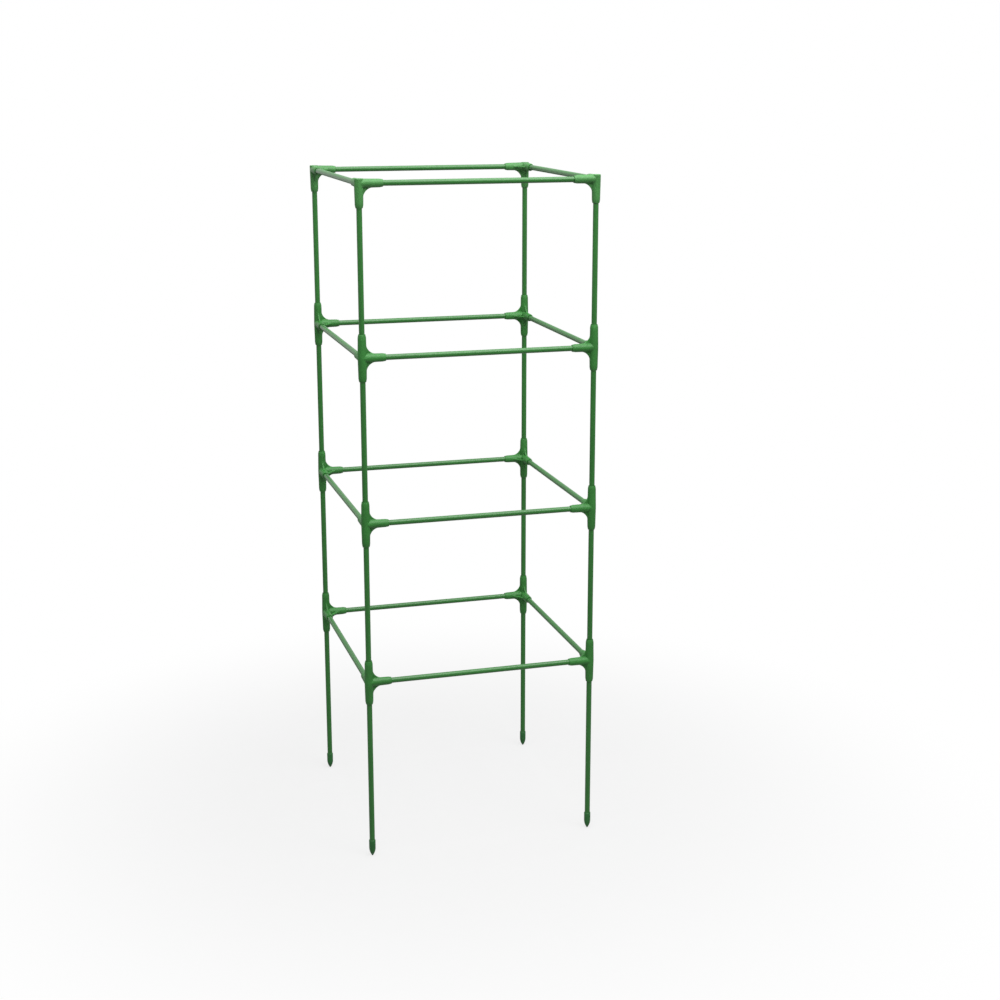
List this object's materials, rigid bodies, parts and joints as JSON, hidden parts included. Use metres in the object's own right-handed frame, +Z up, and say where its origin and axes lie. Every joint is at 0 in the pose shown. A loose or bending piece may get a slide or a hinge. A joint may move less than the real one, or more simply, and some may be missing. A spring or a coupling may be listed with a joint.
{
  "type": "tomato cage",
  "caption": "Tall square plant cage of plastic-coated tubes pushed into moulded corner connectors, with stacked rings that lift off in tiers and pointed leg caps for soil.",
  "frame": {"origin": "on the ground, midway between the four spike points", "axes": "+Z up along the legs; +X to the right along the front bars; +Y from the front to the back"},
  "size_m": [0.4878, 0.4878, 1.3791],
  "materials": {
    "coated_tube": "satin extruded plastic skin over steel tube",
    "connector": "satin injection-moulded plastic",
    "spike": "satin injection-moulded plastic",
    "steel_core": "thin rolled and welded steel tube"
  },
  "bodies": {
    "base_section": {"lower_front_bar": "coated_tube", "lower_right_bar": "coated_tube", "lower_back_bar": "coated_tube", "lower_left_bar": "coated_tube", "lower_front_left_connector": "connector", "lower_front_right_connector": "connector", "lower_back_right_connector": "connector", "lower_back_left_connector": "connector", "front_left_leg": "coated_tube", "front_left_spike": "spike", "front_right_leg": "coated_tube", "front_right_spike": "spike", "back_right_leg": "coated_tube", "back_right_spike": "spike", "back_left_leg": "coated_tube", "back_left_spike": "spike", "lower_steel_cores": "steel_core"},
    "second_section": {"second_front_bar": "coated_tube", "second_right_bar": "coated_tube", "second_back_bar": "coated_tube", "second_left_bar": "coated_tube", "second_front_left_connector": "connector", "second_front_right_connector": "connector", "second_back_right_connector": "connector", "second_back_left_connector": "connector", "second_front_left_post": "coated_tube", "second_front_right_post": "coated_tube", "second_back_right_post": "coated_tube", "second_back_left_post": "coated_tube", "second_steel_cores": "steel_core"},
    "third_section": {"third_front_bar": "coated_tube", "third_right_bar": "coated_tube", "third_back_bar": "coated_tube", "third_left_bar": "coated_tube", "third_front_left_connector": "connector", "third_front_right_connector": "connector", "third_back_right_connector": "connector", "third_back_left_connector": "connector", "third_front_left_post": "coated_tube", "third_front_right_post": "coated_tube", "third_back_right_post": "coated_tube", "third_back_left_post": "coated_tube", "third_steel_cores": "steel_core"},
    "top_section": {"top_front_bar": "coated_tube", "top_right_bar": "coated_tube", "top_back_bar": "coated_tube", "top_left_bar": "coated_tube", "top_front_left_connector": "connector", "top_front_right_connector": "connector", "top_back_right_connector": "connector", "top_back_left_connector": "connector", "top_front_left_post": "coated_tube", "top_front_right_post": "coated_tube", "top_back_right_post": "coated_tube", "top_back_left_post": "coated_tube", "top_steel_cores": "steel_core"}
  },
  "joints": [
    {"name": "second_section_lift", "type": "slide", "parent": "base_section", "child": "second_section", "axis": [0, 0, 1], "range_m": [0, 0.04]},
    {"name": "third_section_lift", "type": "slide", "parent": "second_section", "child": "third_section", "axis": [0, 0, 1], "range_m": [0, 0.04]},
    {"name": "top_section_lift", "type": "slide", "parent": "third_section", "child": "top_section", "axis": [0, 0, 1], "range_m": [0, 0.04]}
  ]
}
